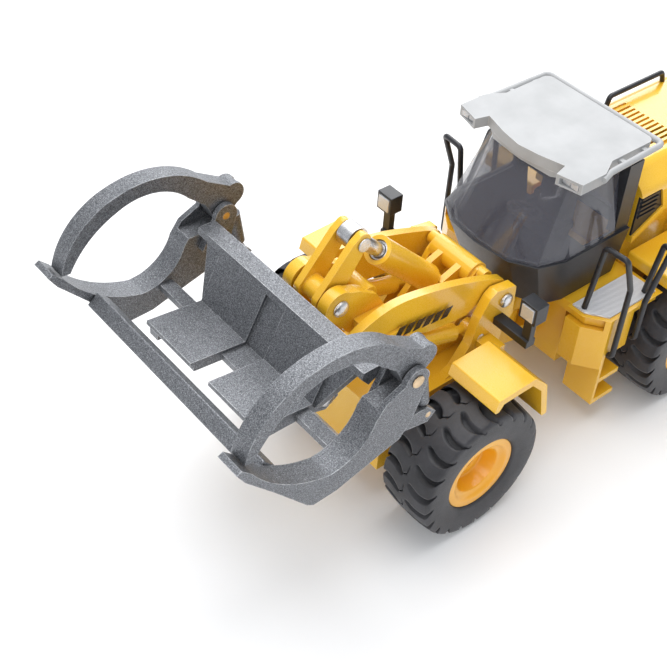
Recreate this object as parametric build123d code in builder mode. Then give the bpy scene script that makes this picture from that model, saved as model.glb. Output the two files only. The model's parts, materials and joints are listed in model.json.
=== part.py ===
"""Toy front loader: a 1:50 articulated wheel loader with a timber grab.

The origin is on the ground under the middle of the whole length; +X forward, +Y to the left, +Z up.
Most side profiles are drawn in a plane whose local origin is on the ground under the front axle.
"""

from build123d import *
import os
from math import atan2, cos, degrees, hypot, radians, sin, sqrt

os.makedirs("parts", exist_ok=True)

# ---------------------------------------------------------------- driving dimensions (mm)
WHEELBASE = 78.0
FRONT_X = 25.0                       # front axle
REAR_X = FRONT_X - WHEELBASE         # rear axle
TYRE_R = 18.5
TYRE_W = 16.0
TYRE_OUT = 36.5                      # outer face of the tyres
RIM_R = 10.2
AXLE_R = 1.5
JOINT_X = -39.0                      # articulation pin, from the front axle
RUN = 0.05                           # radial clearance of a running fit
GAP = 0.3                            # side clearance between moving parts

TRACK_MID = TYRE_OUT - TYRE_W / 2    # middle plane of a tyre
FRAME_HALF = 16.0                    # half width of both chassis blocks

# pivots of the loader linkage in the side view (from the front axle, height)
BOOM_PIVOT = (-22.6, 46.8)
BELL_PIVOT = (23.0, 62.5)
TILT_EYE = (14.4, 73.7)
TILT_BASE = (-13.0, 47.0)
LINK_REAR = (17.5, 52.5)
LINK_FRONT = (30.0, 57.0)
GRAB_PIVOT = (31.0, 45.0)
LIFT_BASE = (-16.0, 38.0)
LIFT_EYE = (14.0, 47.0)
CLAW_PIVOT = (27.0, 66.3)
CLAW_EYE = (23.8, 70.1)
CLAW_BASE = (20.5, 51.0)

# widths of the linkage
BOOM_IN = 10.1
BOOM_OUT = 12.3
BOOM_MID = (BOOM_IN + BOOM_OUT) / 2
BOOM_T = BOOM_OUT - BOOM_IN
LIFT_MID = 10.7                      # middle plane of a lift cylinder
BELL_MID = 3.1                       # middle plane of each bellcrank plate
BELL_T = 1.8
TINE_MID = 33.5
TINE_T = 6.0
CLAW_MID = 32.6
CLAW_T = 4.4

# cab and platform heights
DECK_Z = 38.0
BELT_Z = 53.0
ROOF_Z = 77.5


# ---------------------------------------------------------------- helpers
def side(y=0.0):
    """Side view plane at y: local x forward from the front axle, local y up."""
    return Plane(origin=(FRONT_X, y, 0), x_dir=(1, 0, 0), z_dir=(0, -1, 0))


def plan(z):
    """Plan view plane at height z, with its origin over the front axle."""
    return Plane.XY.offset(z).shift_origin((FRONT_X, 0, z))


def plate(outline, y, thick, corner=0.0, mode=Mode.ADD):
    """A flat upright plate with its middle plane at y."""
    with BuildSketch(side(y)) as profile:
        with BuildLine():
            if corner:
                FilletPolyline(*outline, radius=corner, close=True)
            else:
                Polyline(*outline, close=True)
        make_face()
    extrude(profile.sketch, amount=thick / 2, both=True, mode=mode)


def slab(outline, z0, z1, corner=0.0, mode=Mode.ADD):
    """A flat horizontal plate between two heights, outline in plan from the front axle."""
    with BuildSketch(plan(z0)) as profile:
        with BuildLine():
            if corner:
                FilletPolyline(*outline, radius=corner, close=True)
            else:
                Polyline(*outline, close=True)
        make_face()
    extrude(profile.sketch, amount=z1 - z0, mode=mode)


def cross(point, radius, y0, y1, mode=Mode.ADD):
    """A round bar or hole across the machine, from y0 to y1."""
    with BuildSketch(side((y0 + y1) / 2)) as profile:
        with Locations(point):
            Circle(radius)
    extrude(profile.sketch, amount=abs(y1 - y0) / 2, both=True, mode=mode)


def block(x0, x1, y0, y1, z0, z1, mode=Mode.ADD):
    """An upright box; x from the front axle."""
    with BuildSketch(plan(z0)) as profile:
        with Locations(((x0 + x1) / 2, (y0 + y1) / 2)):
            Rectangle(abs(x1 - x0), abs(y1 - y0))
    extrude(profile.sketch, amount=z1 - z0, mode=mode)


def along(start, end, radius, y, t0, t1, mode=Mode.ADD):
    """A round bar on the line start-end in the side view, from t0 to t1 (mm from start)."""
    length = hypot(end[0] - start[0], end[1] - start[1])
    direction = ((end[0] - start[0]) / length, (end[1] - start[1]) / length)
    origin = (FRONT_X + start[0] + direction[0] * t0, y, start[1] + direction[1] * t0)
    with BuildSketch(Plane(origin=origin, z_dir=(direction[0], 0, direction[1]))) as profile:
        Circle(radius)
    extrude(profile.sketch, amount=t1 - t0, mode=mode)


def eye(point, outer, y, thick, mode=Mode.ADD):
    """A round boss across the machine with its middle plane at y."""
    cross(point, outer, y - thick / 2, y + thick / 2, mode)


def save(builder, name):
    """Labels a finished piece and writes it."""
    builder.part.label = name
    export_step(builder.part, f"parts/{name}.step")


def pin(name, point, radius, y0, y1, head=0.0, head_t=0.7):
    """A cross pin from y0 to y1 with domed heads outside that span."""
    with BuildPart() as part:
        cross(point, radius, y0, y1)
        if head:
            cross(point, head, y1, y1 + head_t)
            cross(point, head, y0 - head_t, y0)
    save(part, name)


def pair_pins(name, point, radius, y0, y1, head=0.0, head_t=0.7):
    """The same short pin on both sides of the machine."""
    with BuildPart() as part:
        for way in (1, -1):
            cross(point, radius, way * y0, way * y1)
            if head:
                cross(point, head, way * y1, way * (y1 + head_t))
    save(part, name)


SIDES = (("left", 1), ("right", -1))
BOTH = (1, -1)


# ---------------------------------------------------------------- wheels
def wheel_set(where, axle_x):
    """Steel axle, two dished rims and two tyres on one axle."""
    with BuildPart() as axle:
        with BuildSketch(Plane.XZ.offset(-(TYRE_OUT - 6.4)).shift_origin((axle_x, TYRE_OUT - 6.4, TYRE_R))):
            Circle(AXLE_R)
        extrude(amount=2 * (TYRE_OUT - 6.4))
    save(axle, f"{where}_axle")

    rim_in = TYRE_OUT - TYRE_W + 1.0
    rim_out = TYRE_OUT - 1.0
    with BuildPart() as rims:
        for way in BOTH:
            with BuildSketch(Plane(origin=(axle_x, 0, TYRE_R), x_dir=(0, way, 0), z_dir=(1, 0, 0))):
                with BuildLine():
                    Polyline(
                        (rim_in, AXLE_R), (rim_in, RIM_R), (rim_out, RIM_R), (rim_out, 8.3),
                        (rim_out - 0.9, 7.3), (rim_out - 1.1, 6.4), (rim_out - 4.8, 5.2),
                        (rim_out - 5.2, 3.2), (rim_out - 4.2, 2.8), (rim_out - 4.2, AXLE_R), close=True,
                    )
                make_face()
            revolve(axis=Axis((axle_x, 0, TYRE_R), (0, way, 0)))
    save(rims, f"{where}_rims")

    tyre_in = TYRE_OUT - TYRE_W
    with BuildPart() as tyres:
        for way in BOTH:
            with BuildSketch(Plane(origin=(axle_x, 0, TYRE_R), x_dir=(0, way, 0), z_dir=(1, 0, 0))):
                with BuildLine():
                    Polyline((tyre_in + 2.2, RIM_R), (TYRE_OUT - 2.2, RIM_R))
                    ThreePointArc(
                        (TYRE_OUT - 2.2, RIM_R), (TYRE_OUT, (RIM_R + TYRE_R) / 2), (TYRE_OUT - 2.6, TYRE_R - 0.5)
                    )
                    ThreePointArc(
                        (TYRE_OUT - 2.6, TYRE_R - 0.5), (TRACK_MID, TYRE_R), (tyre_in + 2.6, TYRE_R - 0.5)
                    )
                    ThreePointArc(
                        (tyre_in + 2.6, TYRE_R - 0.5), (tyre_in, (RIM_R + TYRE_R) / 2), (tyre_in + 2.2, RIM_R)
                    )
                make_face()
            revolve(axis=Axis((axle_x, 0, TYRE_R), (0, way, 0)))
    save(tyres, f"{where}_tyres")


wheel_set("front", FRONT_X)
wheel_set("rear", REAR_X)


# ---------------------------------------------------------------- rear half: chassis
REAR_END = -122.5
CLEVIS_R = 6.2
TONGUE_Z = (22.0, 28.0)

with BuildPart() as rear_chassis:
    block(-118, -47, -FRAME_HALF, FRAME_HALF, 13, 36)
    block(-90, -66, -19, 19, 12, 24)
    for z0, z1 in ((17.0, TONGUE_Z[0] - GAP), (TONGUE_Z[1] + GAP, 33.0)):
        slab(((-50, -9), (-38.9, -6.2), (-38.9, 6.2), (-50, 9)), z0, z1)
        with BuildSketch(plan(z0)):
            with Locations((JOINT_X, 0)):
                Circle(CLEVIS_R)
        extrude(amount=z1 - z0)
    slab(((-44, -24), (-47.5, -28.6), (-66, -28.6), (-66, 28.6), (-47.5, 28.6), (-44, 24)), 34, 37.2)
    with BuildSketch(plan(16)):
        with Locations((JOINT_X, 0)):
            Circle(2.0)
    extrude(amount=20, mode=Mode.SUBTRACT)
    cross((REAR_X - FRONT_X, TYRE_R), AXLE_R + RUN, -20, 20, Mode.SUBTRACT)
    fillet(rear_chassis.edges().filter_by(Axis.Y).group_by(Axis.X)[0], 2.0)
save(rear_chassis, "rear_chassis")

with BuildPart() as articulation_pin:
    with BuildSketch(plan(16.4)):
        with Locations((JOINT_X, 0)):
            Circle(2.0)
    extrude(amount=17.4)
    with BuildSketch(plan(33)):
        with Locations((JOINT_X, 0)):
            Circle(3.2)
    extrude(amount=0.8)
save(articulation_pin, "articulation_pin")


# ---------------------------------------------------------------- rear half: hood
HOOD_FRONT = -66.4
HOOD_REAR = -117.0
HOOD_HALF = 17.0
HOOD_TOP = 64.5
GRILLE_MID = -79.0                   # ribbed panel in the top of the hood
GRILLE_LONG = 18.0
GRILLE_HALF = 9.5
INTAKE = ((-66.4, 46.5), (-66.4, 58.5), (-74.0, 58.5), (-76.5, 52.0))
POCKET = ((-66.4, 36.0), (-66.4, 44.5), (-77.5, 50.5), (-84.0, 50.5), (-84.0, 36.0))
LOUVRES = ((-111.0, -88.0), (43.0, 52.0))

with BuildPart() as engine_hood:
    with BuildSketch(Plane.YZ.offset(FRONT_X + HOOD_FRONT)):
        with BuildLine():
            Polyline((-HOOD_HALF, 36), (-HOOD_HALF, 59.5), (-11.5, HOOD_TOP), (11.5, HOOD_TOP), (HOOD_HALF, 59.5),
                     (HOOD_HALF, 36), close=True)
        make_face()
        fillet(vertices().filter_by_position(Axis.Y, 50, 70), 4.0)
    extrude(amount=HOOD_REAR - HOOD_FRONT)
    with BuildSketch(side()):
        with BuildLine():
            Polyline((HOOD_REAR - 1, 70), (HOOD_REAR - 1, 52), (HOOD_REAR + 8, HOOD_TOP + 0.1), (HOOD_REAR + 8, 70),
                     close=True)
        make_face()
    extrude(amount=30, both=True, mode=Mode.SUBTRACT)
    for way in BOTH:
        plate(POCKET, way * HOOD_HALF, 4.8, mode=Mode.SUBTRACT)
        plate(INTAKE, way * HOOD_HALF, 2.4, mode=Mode.SUBTRACT)
        block(*LOUVRES[0], way * (HOOD_HALF - 0.6), way * (HOOD_HALF + 1), *LOUVRES[1], Mode.SUBTRACT)
    block(GRILLE_MID - GRILLE_LONG / 2, GRILLE_MID + GRILLE_LONG / 2, -GRILLE_HALF, GRILLE_HALF, HOOD_TOP - 1,
          HOOD_TOP + 1, Mode.SUBTRACT)
    block(HOOD_REAR - 1, HOOD_REAR + 0.8, -12, 12, 39, 51, Mode.SUBTRACT)
save(engine_hood, "engine_hood")

with BuildPart() as hood_grille:
    block(GRILLE_MID - GRILLE_LONG / 2, GRILLE_MID + GRILLE_LONG / 2, -GRILLE_HALF, GRILLE_HALF, HOOD_TOP - 1,
          HOOD_TOP - 0.4)
    with BuildSketch(plan(HOOD_TOP - 0.4)):
        with Locations((GRILLE_MID, 0)):
            with GridLocations(0, 1.6, 1, 11):
                Rectangle(GRILLE_LONG - 0.6, 0.8)
    extrude(amount=0.8)
save(hood_grille, "hood_grille")

with BuildPart() as side_vents:
    for way in BOTH:
        block(*LOUVRES[0], way * (HOOD_HALF - 0.6), way * (HOOD_HALF - 0.1), *LOUVRES[1])
        with BuildSketch(side(way * (HOOD_HALF - 0.1))):
            with Locations((-99.5, 47.5)):
                with GridLocations(0, 1.5, 1, 6):
                    Rectangle(22.4, 0.7)
        extrude(amount=-way * 0.5)
        plate(INTAKE, way * (HOOD_HALF - 0.9), 0.6)
        with BuildSketch(side(way * (HOOD_HALF - 0.6))):
            with Locations((-70.2, 55.0)):
                with GridLocations(0, 1.4, 1, 5):
                    Rectangle(6.6, 0.6)
        extrude(amount=-way * 0.5)
save(side_vents, "side_vents")

with BuildPart() as rear_grille:
    block(HOOD_REAR + 0.2, HOOD_REAR + 0.8, -12, 12, 39, 51)
    with BuildSketch(Plane.YZ.offset(FRONT_X + HOOD_REAR + 0.2)):
        with Locations((0, 45)):
            with GridLocations(1.6, 0, 15, 1):
                Rectangle(0.8, 11.4)
    extrude(amount=-0.5)
save(rear_grille, "rear_grille")

with BuildPart() as counterweight:
    with BuildSketch(plan(17)):
        with BuildLine():
            Polyline((-118, -22), (REAR_END + 1.5, -19), (REAR_END + 1.5, 19), (-118, 22), close=True)
        make_face()
    extrude(amount=19)
    block(REAR_END, REAR_END + 2, -13, 13, 20, 33)
    fillet(counterweight.edges().filter_by(Axis.Z).group_by(Axis.X)[0], 0.8)
save(counterweight, "counterweight")

with BuildPart() as hood_rail:
    path_z = HOOD_TOP + 3.0
    with BuildLine() as path:
        FilletPolyline(
            (FRONT_X - 82, -11, HOOD_TOP - 0.3), (FRONT_X - 83, -11, path_z), (FRONT_X - 104, -11, path_z),
            (FRONT_X - 105, -11, HOOD_TOP - 0.3), radius=1.2,
        )
    with BuildSketch(Plane(origin=path.line @ 0, z_dir=path.line % 0)):
        Circle(0.7)
    sweep(path=path.line)
save(hood_rail, "hood_rail")


# ---------------------------------------------------------------- rear half: platforms
STEP_OUT = 30.0                      # outer face of the step boxes
STEP_BOX = ((-42.4, 17.0), (-42.4, 24.2), (-46.7, STEP_OUT), (-66, STEP_OUT), (-66, 17.0))

for name, way in SIDES:
    with BuildPart() as step_box:
        slab([(x, way * y) for x, y in STEP_BOX], 21, DECK_Z - 0.5)
        block(-66, -47, way * 20, way * STEP_OUT, 8, 21)
        block(-57, -48, way * 25.5, way * (STEP_OUT + 1), 9.5, 15.5, Mode.SUBTRACT)
        block(-57, -48, way * 25.5, way * (STEP_OUT + 1), 17, 25, Mode.SUBTRACT)
        block(-58.5, -65, way * 20, way * (STEP_OUT + 1), 7, 20.9, Mode.SUBTRACT)
        block(-66.1, -42, 0, way * 28.8, 33.9, 37.3, Mode.SUBTRACT)
        block(-66.1, -40, 0, way * 19.2, 7, 38, Mode.SUBTRACT)
        block(-67, -55.5, 0, way * 31, 7, 37.3, Mode.SUBTRACT)
    save(step_box, f"step_box_{name}")

with BuildPart() as platform_plates:
    for way in BOTH:
        slab([(x, way * y) for x, y in ((-43.4, 19.8), (-43.4, 23.8), (-47.2, 28.8), (-64.5, 28.8), (-64.5, 19.8))],
             DECK_Z - 0.5, DECK_Z)
save(platform_plates, "platform_plates")

with BuildPart() as rear_fenders:
    for way in BOTH:
        block(-98, -66.3, way * 17.1, way * 35.5, 40.5, 42.2)
        block(-67.4, -66.2, way * 17.1, way * 35.5, 38.6, 42.2)
        block(-98, -96.8, way * 17.1, way * 35.5, 36.0, 42.2)
    fillet(rear_fenders.edges().filter_by(Axis.Y).group_by(Axis.X)[-1].group_by(Axis.Z)[-1], 0.8)
save(rear_fenders, "rear_fenders")

RAIL_R = 0.75


def rail(points, radius=1.2):
    """A round handrail along the given points."""
    with BuildLine() as path:
        FilletPolyline(*[(FRONT_X + x, y, z) for x, y, z in points], radius=radius)
    with BuildSketch(Plane(origin=path.line @ 0, z_dir=path.line % 0)) as ring:
        Circle(RAIL_R)
    sweep(ring.sketch, path=path.line)


with BuildPart() as handrails:
    for way in BOTH:
        rail([(-44.6, way * 22.6, DECK_Z), (-43.9, way * 25.0, 59.0), (-44.4, way * 31.4, 59.0),
              (-48.6, way * 31.4, 48.0), (-48.6, way * 31.4, 25.6), (-48.6, way * 29.9, 25.6)])
        rail([(-61.6, way * 27.4, DECK_Z), (-62.2, way * 29.6, 59.0), (-61.6, way * 31.4, 53.0),
              (-56.6, way * 31.4, 40.0), (-56.6, way * 31.4, 27.6), (-56.6, way * 29.9, 27.6)])
save(handrails, "handrails")


# ---------------------------------------------------------------- cab
BASE_PLAN = ((-33.6, 0.0), (-34.4, 9.0), (-37.0, 14.6), (-43.0, 16.4), (-61.5, 16.4))
BELT_PLAN = ((-25.8, 0.0), (-27.0, 10.2), (-31.0, 16.4), (-38.0, 18.6), (-61.5, 18.6))
GLASS_TOP = ((-36.8, 0.0), (-37.6, 9.4), (-40.6, 13.6), (-45.0, 15.2), (-61.5, 15.2))
WALL = 1.2


def ring(points, inset=0.0):
    """A symmetric cab outline from its left half, front to rear."""
    left = [(x - (inset if i == 0 else inset * 0.8), max(y - inset, 0)) for i, (x, y) in enumerate(points)]
    return left + [(x, -y) for x, y in reversed(left) if y > 0]


def cab_loft(low, z0, high, z1, inset=0.0, mode=Mode.ADD):
    """A solid between two cab outlines."""
    with BuildSketch(plan(z0)) as bottom:
        with BuildLine():
            Polyline(*ring(low, inset), close=True)
        make_face()
    with BuildSketch(plan(z1)) as top:
        with BuildLine():
            Polyline(*ring(high, inset), close=True)
        make_face()
    loft([bottom.sketch.faces()[0], top.sketch.faces()[0]], ruled=True, mode=mode)


with BuildPart() as cab_base:
    cab_loft(BASE_PLAN, DECK_Z - 0.8, BELT_PLAN, BELT_Z)
    cab_loft(BASE_PLAN, DECK_Z + 1.2, BELT_PLAN, BELT_Z + 0.1, 2.0, Mode.SUBTRACT)
    for way in BOTH:
        block(-61.5, -56.5, way * 15.2, way * 17.8, BELT_Z - 0.4, 73.0)
    block(-61.5, -60.3, -16, 16, BELT_Z - 1, 73.0)
    block(-62, -60, -12.5, 12.5, 56, 70.5, Mode.SUBTRACT)
save(cab_base, "cab_base")

with BuildPart() as cab_glass:
    cab_loft(BELT_PLAN, BELT_Z, GLASS_TOP, 73.0, 0.5)
    cab_loft(BELT_PLAN, BELT_Z - 0.1, GLASS_TOP, 73.1, 1.5, Mode.SUBTRACT)
    block(-62, -56.4, -20, 20, 50, 74, Mode.SUBTRACT)
    block(-61.2, -60.6, -12.5, 12.5, 56, 70.5)
save(cab_glass, "cab_glass")

ROOF_HALF = ((-35.6, 0.0), (-36.6, 6.0), (-38.4, 12.4), (-34.6, 13.4), (-36.2, 20.0), (-44.0, 20.0), (-49.0, 17.4),
             (-64.0, 17.4))

with BuildPart() as cab_roof:
    with BuildSketch(plan(74.6)):
        with BuildLine():
            Polyline(*ROOF_HALF, *[(x, -y) for x, y in reversed(ROOF_HALF[1:])], close=True)
        make_face()
    extrude(amount=ROOF_Z - 74.6)
    cab_loft(GLASS_TOP, 73.0, GLASS_TOP, 74.7)
    fillet(cab_roof.edges().filter_by(Axis.Z).group_by(Axis.X)[0], 2.0)
    for way in BOTH:
        block(-36.6, -33, way * 14.2, way * 19.2, 75.0, 76.8, Mode.SUBTRACT)
save(cab_roof, "cab_roof")

with BuildPart() as roof_lamps:
    for way in BOTH:
        for y0, y1 in ((14.3, 16.6), (16.8, 19.1)):
            block(-36.6, -35.9, way * y0, way * y1, 75.1, 76.7)
save(roof_lamps, "roof_lamps")

with BuildPart() as roof_rail:
    with BuildLine() as path:
        FilletPolyline(
            (FRONT_X - 43.0, 20.4, 76.2), (FRONT_X - 46.5, 19.4, 76.4), (FRONT_X - 65.6, 18.8, 76.4),
            (FRONT_X - 65.6, -18.8, 76.4), (FRONT_X - 46.5, -19.4, 76.4), (FRONT_X - 43.0, -20.4, 76.2),
            radius=1.6,
        )
    with BuildSketch(Plane(origin=path.line @ 0, z_dir=path.line % 0)):
        Circle(0.8)
    sweep(path=path.line)
    for way in BOTH:
        for x in (-52.0, -60.0):
            block(x - 0.6, x + 0.6, way * 17.4, way * 19.2, 75.8, 76.8)
save(roof_rail, "roof_rail")

with BuildPart() as seat:
    block(-55.0, -45.5, -5.0, 5.0, DECK_Z + 1.2, 48.0)
    plate(((-56.5, 46.0), (-52.5, 46.0), (-54.0, 62.0), (-57.0, 62.0)), 0, 9.6)
    block(-54, -47, 5.6, 7.2, 49, 51)
    block(-54, -47, -7.2, -5.6, 49, 51)
    block(-53, -51, -7.2, 7.2, 46.5, 49.5)
save(seat, "seat")

with BuildPart() as steering_wheel:
    along((-38.0, 39.6), (-42.5, 54.5), 1.1, 0, 0, 15.0)
    along((-42.5, 54.5), (-43.0, 56.2), 4.6, 0, 0, 0.9)
    along((-42.5, 54.5), (-43.0, 56.2), 3.7, 0, -0.1, 0.95, Mode.SUBTRACT)
    along((-42.5, 54.5), (-43.0, 56.2), 1.2, 0, -0.6, 0.9)
    with BuildSketch(Plane(origin=(FRONT_X - 42.5, 0, 54.5), z_dir=(-0.5, 0, 1.7))) as spokes:
        Rectangle(1.0, 8.4)
        Rectangle(8.4, 1.0)
    extrude(spokes.sketch, amount=0.7)
save(steering_wheel, "steering_wheel")


# ---------------------------------------------------------------- front half: tower
TOWER_OUTER = ((-19.2, 51.0), (-25.8, 49.8), (-26.2, 40.4), (-23.4, 37.0), (-22.0, 24.0), (7.0, 24.0), (0.0, 27.5),
               (-8.6, 31.4), (-12.6, 37.2), (-14.6, 44.6), (-17.2, 49.6))
TOWER_INNER = ((-20.0, 52.4), (-22.6, 51.8), (-22.6, 30.0), (4.0, 30.0), (-8.0, 37.0), (-14.0, 44.0), (-17.4, 50.0))
OUTER_T = 2.6                        # outer tower plate, outside a boom arm
OUTER_MID = BOOM_OUT + GAP + OUTER_T / 2
INNER_T = 1.6                        # inner tower plate, carries the cross tube
INNER_MID = 6.8
TOWER_TUBE = (-20.5, 50.0)
TOWER_TUBE_R = 3.2
PIVOT_R = 1.6                        # boom pivot pins
YOKE_MID = 3.2                       # lugs that hold the tilt cylinder's clevis pin
YOKE_T = 1.7

with BuildPart() as front_frame:
    block(-22, 15, -FRAME_HALF, FRAME_HALF, 12, 30)
    block(-22, -12, -19.9, 19.9, 24, 30)
    for way in BOTH:
        plate(TOWER_OUTER, way * OUTER_MID, OUTER_T, 0.8)
        plate(TOWER_INNER, way * INNER_MID, INNER_T, 0.8)
        eye((-21.0, 50.8), 1.7, way * (INNER_MID + 1.4), INNER_T + 1.2)
        eye(LIFT_BASE, 3.0, way * (INNER_MID + INNER_T / 2 + 0.5), 1.2)
        plate(((-11.8, 49.6), (-20.5, 52.8), (-20.5, 46.0), (-13.0, 44.5)), way * YOKE_MID, YOKE_T)
        eye(TILT_BASE, 2.6, way * YOKE_MID, YOKE_T)
    cross(TOWER_TUBE, TOWER_TUBE_R, -INNER_MID, INNER_MID)
    block(-22.6, -20.6, -INNER_MID, INNER_MID, 28, 50)
    block(-44 + 5, -21.9, -5.0, 5.0, TONGUE_Z[0], TONGUE_Z[1])
    with BuildSketch(plan(TONGUE_Z[0])):
        with Locations((JOINT_X, 0)):
            Circle(5.6)
    extrude(amount=TONGUE_Z[1] - TONGUE_Z[0])
    with BuildSketch(plan(10)):
        with Locations((JOINT_X, 0)):
            Circle(2.0 + RUN)
    extrude(amount=30, mode=Mode.SUBTRACT)
    cross(BOOM_PIVOT, PIVOT_R, -22, 22, Mode.SUBTRACT)
    cross(LIFT_BASE, 1.2, -22, 22, Mode.SUBTRACT)
    cross(TILT_BASE, 1.3 + RUN, -6, 6, Mode.SUBTRACT)
    cross((0, TYRE_R), AXLE_R + RUN, -22, 22, Mode.SUBTRACT)
save(front_frame, "front_frame")

pair_pins("boom_pivot_pins", BOOM_PIVOT, PIVOT_R, BOOM_IN - 0.4, OUTER_MID + OUTER_T / 2, 1.9, 0.5)
pair_pins("lift_base_pins", LIFT_BASE, 1.2, INNER_MID - 0.6, OUTER_MID + 1.1)

FENDER = ((-0.4, 38.6), (-1.4, 42.2), (-13.0, 42.6), (-17.8, 37.8), (-20.0, 27.0), (-18.2, 27.0), (-16.0, 36.8),
          (-12.4, 40.6), (-3.2, 40.3), (-1.8, 38.4))

with BuildPart() as front_fenders:
    for way in BOTH:
        plate(FENDER, way * 28.0, 15.6, 0.5)
        block(-19.2, -14.5, way * (OUTER_MID + OUTER_T / 2), way * 20.4, 36.0, 38.0)
save(front_fenders, "front_fenders")

LAMP = (-20.8, 25.3, 51.9)

with BuildPart() as work_lamps:
    for way in BOTH:
        x, y, z = LAMP
        block(x - 2.0, x + 2.0, way * (y - 2.6), way * (y + 2.6), z - 2.6, z + 2.6)
        block(x + 1.6, x + 2.4, way * (y - 2.0), way * (y + 2.0), z - 2.0, z + 2.0, Mode.SUBTRACT)
        block(x - 1.0, x + 0.8, way * (y - 1.5), way * (y + 1.0), 42.4, z)
        block(x - 1.6, x + 1.4, way * (OUTER_MID + OUTER_T / 2), way * (y + 1.0), 40.8, 43.0)
save(work_lamps, "work_lamps")

with BuildPart() as lamp_lenses:
    for way in BOTH:
        x, y, z = LAMP
        block(x + 1.6, x + 2.3, way * (y - 1.9), way * (y + 1.9), z - 1.9, z + 1.9)
save(lamp_lenses, "lamp_lenses")


# ---------------------------------------------------------------- boom
ARM_TOP = ((-19.0, 52.9), (-7.2, 56.9), (3.7, 59.5), (11.0, 60.3), (17.6, 59.0), (24.4, 55.4))
ARM_REST = ((24.4, 55.4), (29.6, 51.8), (34.2, 47.8), (34.4, 43.8), (31.0, 41.6), (27.4, 43.4), (24.0, 47.6),
            (19.0, 50.6), (9.0, 50.6), (4.2, 48.4), (-0.2, 46.4), (-9.1, 45.2), (-12.8, 44.9), (-15.5, 46.4),
            (-17.6, 46.8), (-20.0, 44.0), (-22.6, 43.4), (-25.2, 44.8), (-26.0, 47.6), (-24.0, 50.6), (-19.0, 52.9))
LUG = ((8.8, 53.0), (19.2, 53.0), (17.0, 45.4), (14.0, 44.1), (11.0, 45.4))
LUG_T = 1.2
LUG_MID = 1.8                         # lugs each side of the lift cylinder's middle plane
EAR_TOP = ((22.8, 66.6), (17.6, 64.6), (12.6, 61.4), (9.4, 56.0), (12.0, 52.4), (19.0, 52.4), (24.0, 58.6))
BOOM_EAR_MID = 6.1
BOOM_EAR_T = 3.0
BOOM_TUBE = (13.4, 60.4)              # cross tube behind the bellcrank
BOOM_TUBE_R = 2.2

with BuildPart() as boom:
    for way in BOTH:
        with BuildSketch(side(way * BOOM_MID)) as arm:
            with BuildLine():
                Spline(*ARM_TOP)
                Polyline(*ARM_REST)
            make_face()
        extrude(arm.sketch, amount=BOOM_T / 2, both=True)
        for offset in (-LUG_MID, LUG_MID):
            plate(LUG, way * (LIFT_MID + offset), LUG_T)
        block(9.4, 18.8, way * (LIFT_MID - LUG_MID), way * (LIFT_MID + LUG_MID), 50.7, 53.0)
        plate(EAR_TOP, way * BOOM_EAR_MID, BOOM_EAR_T, 0.8)
        eye(BELL_PIVOT, 4.1, way * BOOM_EAR_MID, BOOM_EAR_T)
        block(10.2, 19.0, way * BOOM_EAR_MID, way * (BOOM_IN + 0.5), 52.6, 57.4)
    cross(BOOM_TUBE, BOOM_TUBE_R, -BOOM_EAR_MID, BOOM_EAR_MID)
    cross(BOOM_PIVOT, PIVOT_R + RUN, -30, 30, Mode.SUBTRACT)
    cross(BELL_PIVOT, 1.5 + RUN, -10, 10, Mode.SUBTRACT)
    cross(GRAB_PIVOT, 1.4 + RUN, -30, 30, Mode.SUBTRACT)
    cross(LIFT_EYE, 1.2, -30, 30, Mode.SUBTRACT)
save(boom, "boom")

pair_pins("lift_eye_pins", LIFT_EYE, 1.2, LIFT_MID - LUG_MID - 0.6, LIFT_MID + LUG_MID + 0.6)


# ---------------------------------------------------------------- lift cylinders
def lengthwise(start, end):
    """Length between two pivots."""
    return hypot(end[0] - start[0], end[1] - start[1])


LIFT_LEN = lengthwise(LIFT_BASE, LIFT_EYE)
LIFT_T = 2.4
LIFT_CLEAR = 0.75                    # the rod eye is the open pivot of the lift linkage

for name, way in SIDES:
    with BuildPart() as barrel:
        along(LIFT_BASE, LIFT_EYE, 2.3, way * LIFT_MID, 6.0, 19.4)
        along(LIFT_BASE, LIFT_EYE, 1.1, way * LIFT_MID, 0, 7)
        eye(LIFT_BASE, 2.3, way * LIFT_MID, LIFT_T)
        cross(LIFT_BASE, 1.2 + RUN, -30, 30, Mode.SUBTRACT)
        along(LIFT_BASE, LIFT_EYE, 1.1 + RUN, way * LIFT_MID, 7.5, 21, Mode.SUBTRACT)
    save(barrel, f"lift_barrel_{name}")
    with BuildPart() as rod:
        along(LIFT_BASE, LIFT_EYE, 1.1, way * LIFT_MID, 13.0, LIFT_LEN - 1.8)
        eye(LIFT_EYE, 2.7, way * LIFT_MID, LIFT_T - 0.4)
        cross(LIFT_EYE, 1.2 + LIFT_CLEAR, -30, 30, Mode.SUBTRACT)
    save(rod, f"lift_rod_{name}")


# ---------------------------------------------------------------- tilt cylinder and bellcrank
TILT_LEN = lengthwise(TILT_BASE, TILT_EYE)
SLEEVE_R = 2.4                       # inner stage of the tilt cylinder
TILT_CLEAR = 0.95                    # the rod eye is the open pivot of the tilt linkage

pin("tilt_clevis_pin", TILT_BASE, 1.3, -YOKE_MID - 1.0, YOKE_MID + 1.0)

with BuildPart() as tilt_barrel:
    along(TILT_BASE, TILT_EYE, 3.5, 0, 3.2, 27.0)
    along(TILT_BASE, TILT_EYE, 1.8, 0, 0, 4)
    eye(TILT_BASE, 2.4, 0, 4.0)
    cross(TILT_BASE, 1.3 + RUN, -10, 10, Mode.SUBTRACT)
    along(TILT_BASE, TILT_EYE, SLEEVE_R + RUN, 0, 8, 28, Mode.SUBTRACT)
save(tilt_barrel, "tilt_barrel")

with BuildPart() as tilt_sleeve:
    along(TILT_BASE, TILT_EYE, SLEEVE_R, 0, 12, 26.5)
    along(TILT_BASE, TILT_EYE, 1.7 + RUN, 0, 11, 28, Mode.SUBTRACT)
save(tilt_sleeve, "tilt_sleeve")

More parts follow.
